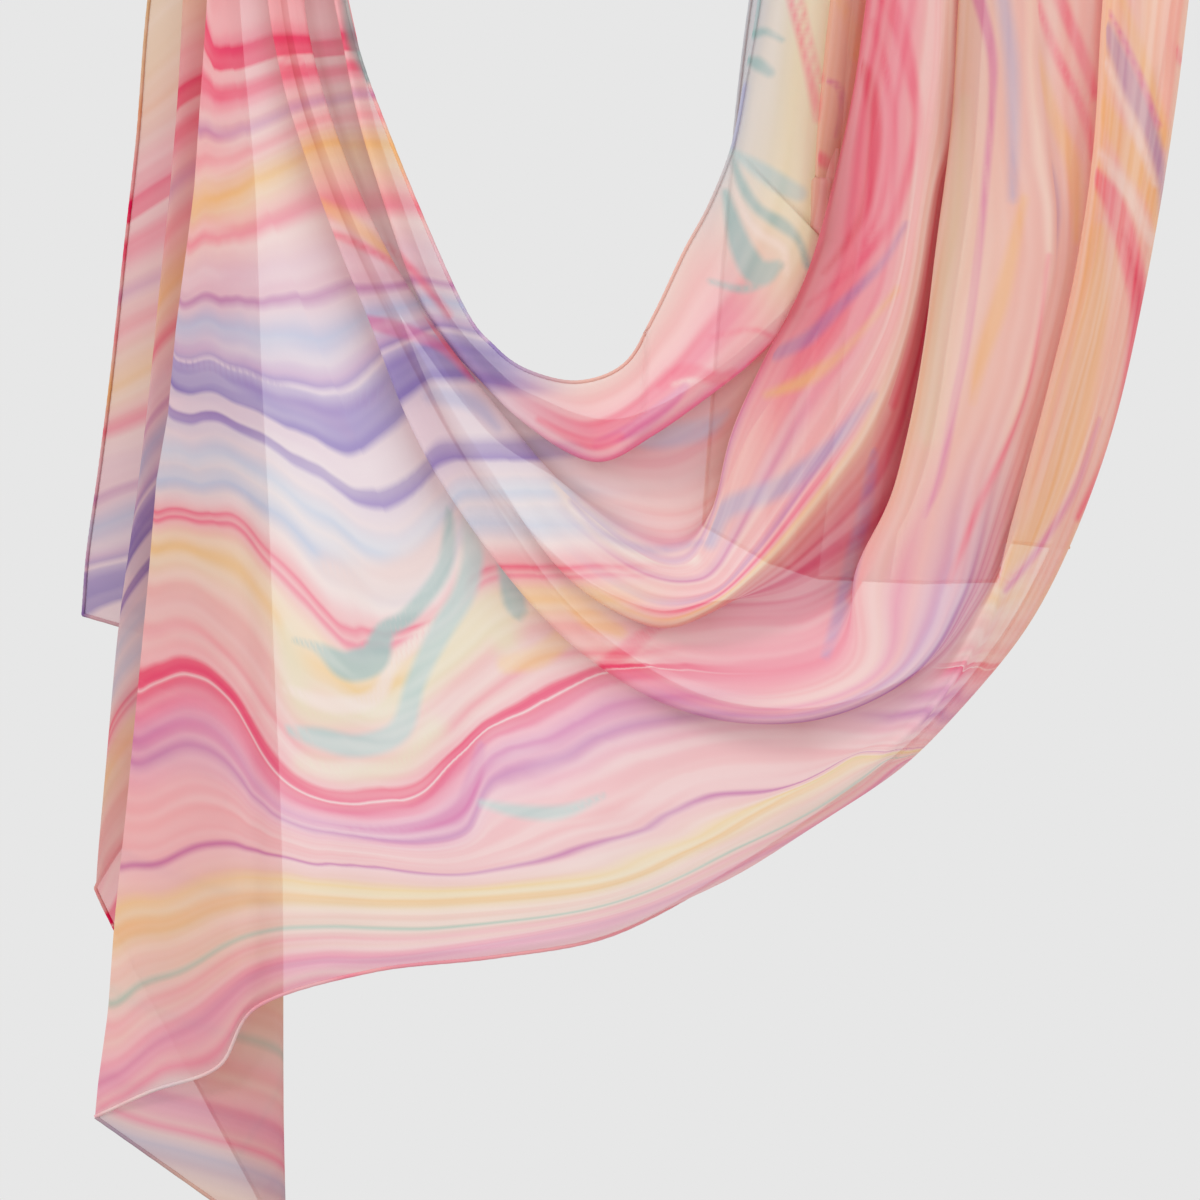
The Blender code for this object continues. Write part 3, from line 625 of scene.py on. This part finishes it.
def outside_stroke(line, x, z):
    """Distance of each point from a stroke's edge, in mm: below 0 inside it."""
    best = np.full(x.shape, 1e9)
    for (x0, z0, width0), (x1, z1, width1) in zip(line, line[1:]):
        run = np.array([x1 - x0, z1 - z0])
        f = np.clip(((x - x0) * run[0] + (z - z0) * run[1]) / max(run @ run, 1e-6), 0, 1)
        distance = np.hypot(x - x0 - f * run[0], z - z0 - f * run[1])
        best = np.minimum(best, distance - width0 - f * (width1 - width0))
    return best


# Shade that a front fold casts on the cloth beside it: fold, lanes of that cloth, reach in mm.
FOLD_SHADES = [
    (9, (9.8, 14.1), 11.0), (6, (6.7, 9.1), 8.0), (5, (6.7, 9.1), 8.0), (4, (1.6, 3.8), 7.0),
    (1, (1.6, 5.2), 9.0), (8, (6.0, 7.7), 8.0), (11, (9.6, 10.8), 5.0),
]


def fold_shade(x, z, lane):
    """How much shade each point gets from the folds in front of it, 0 to 1."""
    shade = np.zeros(x.shape)
    for fold, (low, high), reach in FOLD_SHADES:
        distance, _ = distance_to(SWAG_FOLDS[fold]["across"], x, z)
        inside = smoothstep(low, low + 0.3, lane) * (1 - smoothstep(high - 0.3, high, lane))
        shade = np.maximum(shade, inside * np.exp(-distance / reach))
    return shade


STATIONS = len(SWAG_FOLDS[0]["across"]) - 1
FAR = 6.0                 # a point this far from a stroke, in cm, has none of its paint
FRONT_LANE = 10.5         # from here to the lower hem the print follows its levels


def swag_print_and_shade(grid, lanes):
    """Attributes of the print on the swag, and the painted shade beside its folds."""
    rows, columns = grid.shape[:2]
    x, z = grid[..., 0], grid[..., 2]
    station = np.broadcast_to(np.linspace(0, STATIONS, columns)[None, :], (rows, columns))
    lane = np.broadcast_to(lanes[:, None], (rows, columns))
    front = smoothstep(FRONT_LANE - 0.4, FRONT_LANE + 0.4, lane)
    level = smooth_rows(print_level(x, z).reshape(rows, columns), passes=6)
    cowl = smoothstep(4.6, 7.0, station + 0.15 * (5 - lane)) * (1 - front)
    hold = smoothstep(8.6, 10.8, station + 0.04 * (lane - 7))
    fields = dict(level=level, lane=lane + 0.0, cowl=cowl, hold=hold, shade=fold_shade(x, z, lane))
    fields.update({paint: np.full(x.shape, FAR) for paint in PAINTS})
    for paint, (low, high), line in STROKES:
        inside = smoothstep(low - 0.15, low + 0.15, lane) * (1 - smoothstep(high - 0.15, high + 0.15, lane))
        distance = outside_stroke(smooth_stroke(line), x, z) / 10 + FAR * (1 - inside)
        fields[paint] = np.minimum(fields[paint], distance)
    return fields


# Each tail fold continues the print at its own level: start in mm, and rate, against the front
# panel's.
TAIL_START = [0, 3, 15, 43, 80]
TAIL_RATE = [1.0, 0.92, 0.72, 0.76, 0.82]
TAIL_SHADE = 0.6          # the layers behind the front panel lie in its shade
PRINT_TOP = 92.0          # how far below the left hold the drawn print starts, mm
TAIL_SLANT = 0.15         # rise of the tail's print to the right, mm for each mm
TAIL_MIDDLE = -280.0      # x where that rise is zero, mm
FALL_LEVEL = 460.0        # one level for the fall, whose print follows its lanes, mm


def tail_print_and_shade(grid, lanes):
    """Attributes of the print on the tail, and its painted shade behind the front panel."""
    rows, columns = grid.shape[:2]
    lane = np.broadcast_to(lanes[:, None], (rows, columns))
    depth = -grid[..., 2] - PRINT_TOP
    start = np.interp(lane, range(5), TAIL_START)
    rate = np.interp(lane, range(5), TAIL_RATE)
    slant = TAIL_SLANT * (grid[..., 0] - TAIL_MIDDLE) * np.minimum(lane, 1)
    level = PRINT_TOP + (depth - start) * rate + slant
    none = np.zeros((rows, columns))
    fields = dict(level=level, lane=none, cowl=none, hold=none, shade=none + TAIL_SHADE)
    fields.update({paint: none + FAR for paint in PAINTS})
    return fields


def fall_print(grid, lanes):
    """Attributes of the print on the fall, which follows its lanes."""
    rows, columns = grid.shape[:2]
    lane = np.broadcast_to(lanes[:, None], (rows, columns))
    none = np.zeros((rows, columns))
    drift = 0.5 * np.sin(grid[..., 2] / 90) * smoothstep(30, 60, grid[..., 1])
    fields = dict(level=none + FALL_LEVEL, lane=np.clip(lane + drift, 0, 14), cowl=none,
                  hold=none + 1, shade=none)
    fields.update({paint: none + FAR for paint in PAINTS})
    return fields


def flat_place(grid):
    """Where each point lies on the flat cloth: run along the rows and across them, in metres."""
    along = np.cumsum(np.linalg.norm(np.diff(grid, axis=1, prepend=grid[:, :1]), axis=-1), axis=1)
    across = np.cumsum(np.linalg.norm(np.diff(grid, axis=0, prepend=grid[:1]), axis=-1), axis=0)
    return np.stack([along, across, np.zeros_like(along)], axis=-1) * MM


# ---------------------------------------------------------------- meshes

def sheet_mesh(name, grid, fields, material):
    """One smooth open sheet of quads, with the print and the painted shade as point attributes."""
    rows, columns = grid.shape[:2]
    corner = (np.arange(rows - 1)[:, None] * columns + np.arange(columns - 1)[None, :]).ravel()
    faces = np.stack([corner, corner + columns, corner + columns + 1, corner + 1], axis=1)
    mesh = bpy.data.meshes.new(name)
    mesh.from_pydata((grid.reshape(-1, 3) * MM).tolist(), [], faces.tolist())
    mesh.shade_smooth()
    for key, values in fields.items():
        attribute = mesh.attributes.new(key, "FLOAT", "POINT")
        attribute.data.foreach_set("value", np.ascontiguousarray(values, dtype=np.float32).ravel())
    place = mesh.attributes.new("flat", "FLOAT_VECTOR", "POINT")
    place.data.foreach_set("vector", flat_place(grid).astype(np.float32).ravel())
    mesh.materials.append(material)
    piece = bpy.data.objects.new(name, mesh)
    bpy.context.collection.objects.link(piece)
    return piece


def hem_grid(line, inner, fields):
    """A rolled hem: a tube that wraps the cloth's edge, with the edge's own print and painted shade."""
    along = directions(np.gradient(line, axis=0))
    out = directions(line - inner)
    out = directions(out - np.sum(out * along, axis=1, keepdims=True) * along)
    up = np.cross(along, out)
    turn = np.linspace(0, 2 * np.pi, HEM_SIDES + 1)
    roll = 1 + 0.06 * np.sin(np.arange(len(line)) * 2.1)[:, None, None]
    ring = (np.cos(turn)[None, :, None] * out[:, None, :] + np.sin(turn)[None, :, None] * up[:, None, :])
    tube = line[:, None, :] - 0.4 * HEM_RADIUS * out[:, None, :] + HEM_RADIUS * roll * ring
    spread = {key: np.repeat(values[:, None], HEM_SIDES + 1, axis=1) for key, values in fields.items()}
    return tube, spread


def join(name, pieces):
    """One object from several meshes of the same kind."""
    with bpy.context.temp_override(active_object=pieces[0], selected_editable_objects=pieces):
        bpy.ops.object.join()
    pieces[0].name = name
    return pieces[0]


def edge(grid, fields, side):
    """An edge line of a grid, the line just inside it, and the print along it."""
    cut = {"first row": (0, 3), "last row": (-1, -4)}.get(side)
    if cut:
        return grid[cut[0]], grid[cut[1]], {k: v[cut[0]] for k, v in fields.items()}
    first, second = {"first column": (0, 3), "last column": (-1, -4)}[side]
    return grid[:, first], grid[:, second], {k: v[:, first] for k, v in fields.items()}


# ---------------------------------------------------------------- materials

LEVEL_THREADS = 0.0814    # threads of paint for each mm of level
LANE_THREADS = 6.0        # threads of paint for each lane
THREAD_RUN = 3.5          # how often a thread changes along the cloth, per metre
CREPE_SCALE = 700.0       # grains of the crepe for each metre
SCATTERED = 0.38          # share of the light in the cloth that comes out on the far side
CLEAR_TINT = 0.55         # how far the light that passes straight through loses the print's colour


def linear(color):
    """sRGB, 0 to 255, as linear RGBA."""
    parts = [c / 255 for c in color]
    return [p / 12.92 if p <= 0.04045 else ((p + 0.055) / 1.055) ** 2.4 for p in parts] + [1.0]


class Tree:
    """Short ways to add nodes to one node tree."""

    def __init__(self, tree):
        self.nodes, self.links = tree.nodes, tree.links

    def add(self, kind, inputs=None, **settings):
        """A node; an input is a value or another socket."""
        node = self.nodes.new(kind)
        for key, value in settings.items():
            setattr(node, key, value)
        for key, value in (inputs or {}).items():
            if isinstance(value, bpy.types.NodeSocket):
                self.links.new(value, node.inputs[key])
            else:
                node.inputs[key].default_value = value
        return node

    def math(self, operation, a, b=0.0, c=0.0):
        """The result of a math node."""
        node = self.add("ShaderNodeMath", {0: a, 1: b, 2: c}, operation=operation)
        return node.outputs[0]

    def field(self, name):
        """One of the cloth's point attributes, as a number."""
        return self.add("ShaderNodeAttribute", attribute_name=name).outputs["Fac"]

    def mix(self, factor, a, b, blend="MIX"):
        """Two colours mixed."""
        node = self.add("ShaderNodeMix", data_type="RGBA", blend_type=blend)
        for socket, value in ((node.inputs[0], factor), (node.inputs[6], a), (node.inputs[7], b)):
            if isinstance(value, bpy.types.NodeSocket):
                self.links.new(value, socket)
            else:
                socket.default_value = value
        return node.outputs[2]

    def fraction(self, value, low, high):
        """Where a value lies between low and high, 0 to 1."""
        return self.add("ShaderNodeMapRange", {0: value, 1: low, 2: high}).outputs[0]

    def noise(self, vector, scale, detail=2.0, roughness=0.5):
        """Smooth random values, 0 to 1."""
        inputs = {"Vector": vector, "Scale": scale, "Detail": detail, "Roughness": roughness}
        return self.add("ShaderNodeTexNoise", inputs).outputs["Fac"]

    def stripes(self, value, stops):
        """Colours along a value. A ramp holds 32 stops, so a long list takes several ramps."""
        color = None
        for start in range(0, len(stops) - 1, 30):
            part = stops[start:start + 31]
            low, high = part[0][0], part[-1][0]
            ramp = self.add("ShaderNodeValToRGB", {0: self.fraction(value, low, high)})
            elements = ramp.color_ramp.elements
            ramp.color_ramp.interpolation = "LINEAR"
            for index, (place, shade) in enumerate(part):
                spot = (place - low) / (high - low)
                element = elements[index] if index < 2 else elements.new(spot)
                element.position = spot
                element.color = linear(shade)
            if color is None:
                color = ramp.outputs[0]
            else:
                past = self.math("GREATER_THAN", value, low)
                color = self.mix(past, color, ramp.outputs[0])
        return color


def print_and_shade_group():
    """The marbled print, from the cloth's own attributes, with painted shade: the print darkened beside the
    folds and on the tail behind the front panel.
    """
    group = bpy.data.node_groups.new("marbled print", "ShaderNodeTree")
    group.interface.new_socket("Color", in_out="OUTPUT", socket_type="NodeSocketColor")
    t = Tree(group)
    level, lane = t.field("level"), t.field("lane")
    front = t.stripes(level, LEVEL_COLORS)
    cowl = t.stripes(lane, COWL_COLORS)
    hold = t.stripes(lane, HOLD_COLORS)
    color = t.mix(t.field("cowl"), front, cowl)
    color = t.mix(t.field("hold"), color, hold)
    for paint, (shade, softness, most) in PAINTS.items():
        cover = t.add("ShaderNodeMapRange", {0: t.field(paint), 1: -softness, 2: softness, 3: most, 4: 0.0},
                      interpolation_type="SMOOTHSTEP").outputs[0]
        color = t.mix(cover, color, linear(shade))
    # Fine threads of paint that run with the stripes.
    flat = t.add("ShaderNodeAttribute", attribute_name="flat").outputs["Vector"]
    along = t.math("MULTIPLY", t.add("ShaderNodeSeparateXYZ", {0: flat}).outputs[0], THREAD_RUN)
    by_lane = t.math("MAXIMUM", t.field("cowl"), t.field("hold"))
    threads = []
    level_shift = -LEVEL_THREADS * PRINT_TOP
    for field, scale, shift in ((level, LEVEL_THREADS, level_shift), (lane, LANE_THREADS, 0.0)):
        across = t.math("MULTIPLY_ADD", field, scale, shift)
        place = t.add("ShaderNodeCombineXYZ", {0: across, 1: along})
        threads.append(t.fraction(t.noise(place.outputs[0], 1.0, 1.0), 0.34, 0.66))
    threads = t.add("ShaderNodeMix", {0: by_lane, 2: threads[0], 3: threads[1]}).outputs[0]
    pale = t.mix(0.32, color, linear((255, 247, 240)))
    deep = t.mix(0.55, color, color, "MULTIPLY")
    color = t.mix(threads, t.mix(0.22, color, deep), pale)
    # Painted shade: the print darkened towards SHADE_COLOR beside the folds and on the tail behind the front
    # panel.
    color = t.mix(t.field("shade"), color, linear(SHADE_COLOR), "MULTIPLY")
    out = t.add("NodeGroupOutput")
    t.links.new(color, out.inputs[0])
    return group


def chiffon(name, group, cover, depth_of_color):
    """Sheer cloth: some light passes straight through, some is scattered on to the far side."""
    material = bpy.data.materials.new(name)
    material.use_nodes = True
    t = Tree(material.node_tree)
    t.nodes.clear()
    color = t.add("ShaderNodeGroup", node_tree=group).outputs[0]
    if depth_of_color > 1:
        color = t.add("ShaderNodeHueSaturation", {"Color": color, "Saturation": depth_of_color}).outputs[0]
    place = t.add("ShaderNodeAttribute", attribute_name="flat").outputs["Vector"]
    crepe = t.noise(place, CREPE_SCALE, 0.0)
    bump = t.add("ShaderNodeBump", {"Height": crepe, "Strength": 0.10, "Distance": 0.0003}).outputs[0]
    rough = t.math("MULTIPLY_ADD", crepe, 0.14, 0.64)
    front = t.add("ShaderNodeBsdfPrincipled", {"Base Color": color, "Roughness": rough, "Normal": bump})
    front.inputs["Sheen Weight"].default_value = 0.12
    front.inputs["Sheen Roughness"].default_value = 0.4
    front.inputs["Specular IOR Level"].default_value = 0.25
    through = t.add("ShaderNodeBsdfTranslucent", {"Color": color, "Normal": bump})
    body = t.add("ShaderNodeMixShader", {0: SCATTERED, 1: front.outputs[0], 2: through.outputs[0]})
    tint = t.mix(CLEAR_TINT, color, (1, 1, 1, 1))
    clear = t.add("ShaderNodeBsdfTransparent", {"Color": tint})
    surface = t.add("ShaderNodeMixShader", {0: cover, 1: clear.outputs[0], 2: body.outputs[0]})
    output = t.add("ShaderNodeOutputMaterial")
    t.links.new(surface.outputs[0], output.inputs[0])
    return material


def plain(name, color, roughness):
    """A dull single colour with faint specks."""
    material = bpy.data.materials.new(name)
    material.use_nodes = True
    t = Tree(material.node_tree)
    shader = material.node_tree.nodes["Principled BSDF"]
    place = t.add("ShaderNodeTexCoord").outputs["Object"]
    speck = t.fraction(t.noise(place, 3.0), 0.3, 0.7)
    shade = t.mix(speck, linear(color), linear([c * 0.985 for c in color]))
    t.links.new(shade, shader.inputs["Base Color"])
    shader.inputs["Roughness"].default_value = roughness
    return material


# ---------------------------------------------------------------- the scarf

def build_scarf():
    """The three stretches of the cloth, each with its rolled hem."""
    group = print_and_shade_group()
    cloth = chiffon("chiffon", group, cover=0.76, depth_of_color=1.0)
    hem_cloth = chiffon("rolled_hem", group, cover=0.95, depth_of_color=1.2)
    swag, swag_lanes = swag_grid()
    first_row = sum(fold["steps"] for fold in SWAG_FOLDS[:FOLD_A_FIRST])
    swag = add_creases(swag, swag_lanes)
    swag = add_wander(swag, height=2.2, size=55.0, seed=3.7)
    tail, tail_lanes = tail_grid(swag, first_row)
    tail = add_wander(tail, height=2.0, size=60.0, seed=11.3)
    fall = fall_grid(swag)
    fall = add_wander(fall, height=2.0, size=60.0, seed=7.9)
    stretches = {
        "swag": (swag, swag_print_and_shade(swag, swag_lanes), (0.70, 0.94), ["first row", "last row"]),
        "tail": (tail, tail_print_and_shade(tail, tail_lanes), (0.50, 0.50), ["last row", "last column"]),
        "fall": (fall, fall_print(fall, swag_lanes), (0.62, 0.50), ["first row", "last row", "last column"]),
    }
    for name, (grid, fields, flat, hemmed) in stretches.items():
        fields = warp_print(fields, flat_place(grid))
        piece = sheet_mesh(name + "_cloth", grid, fields, cloth)
        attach(piece, "root")
        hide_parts(name)
        hems = []
        for side in hemmed:
            tube, spread = hem_grid(*edge(grid, fields, side))
            hems.append(sheet_mesh(name + "_hem_part", tube, spread, hem_cloth))
        hem = join(name + "_hem", hems)
        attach(hem, "root")


# ---------------------------------------------------------------- floor, light, camera

VIEW_CENTRE = (-0.0123, -0.03, -0.4605)
VIEW_WIDTH = 0.7368       # width of the view at its centre, m
VIEW_DISTANCE = 5.0
SENSOR = 36.0
FLOOR_LEVEL = -1.25


def area_light(name, place, size, power):
    """A soft light that faces the scarf."""
    light = bpy.data.lights.new(name, "AREA")
    light.shape = "RECTANGLE"
    light.size, light.size_y = size
    light.energy = power
    lamp = bpy.data.objects.new(name, light)
    lamp.location = place
    lamp.rotation_euler = (Vector(VIEW_CENTRE) - Vector(place)).to_track_quat("-Z", "Y").to_euler()
    bpy.context.collection.objects.link(lamp)


def build_setting():
    """Floor, pale world, lights and the camera."""
    bpy.ops.mesh.primitive_plane_add(size=7.0, location=(0, 0, FLOOR_LEVEL))
    floor = bpy.context.object
    floor.name = "floor"
    floor.data.materials.append(plain("pale_floor", (202, 202, 202), 0.9))
    world = bpy.data.worlds.new("pale studio")
    bpy.context.scene.world = world
    world.use_nodes = True
    background = world.node_tree.nodes["Background"]
    background.inputs["Color"].default_value = linear((231, 231, 231))
    background.inputs["Strength"].default_value = 1.0
    area_light("key", (-2.1, -1.7, 1.0), size=(0.8, 0.8), power=40)
    area_light("fill", (1.8, -2.2, 0.0), size=(1.6, 1.6), power=12)
    camera_data = bpy.data.cameras.new("camera")
    camera_data.sensor_width = SENSOR
    camera_data.lens = SENSOR * VIEW_DISTANCE / VIEW_WIDTH
    camera = bpy.data.objects.new("camera", camera_data)
    camera.location = (VIEW_CENTRE[0], VIEW_CENTRE[1] - VIEW_DISTANCE, VIEW_CENTRE[2])
    camera.rotation_euler = (math.pi / 2, 0, 0)
    bpy.context.collection.objects.link(camera)
    scene = bpy.context.scene
    scene.camera = camera
    scene.view_settings.view_transform = "Standard"
    scene.cycles.transparent_max_bounces = 12


build_scarf()
build_setting()
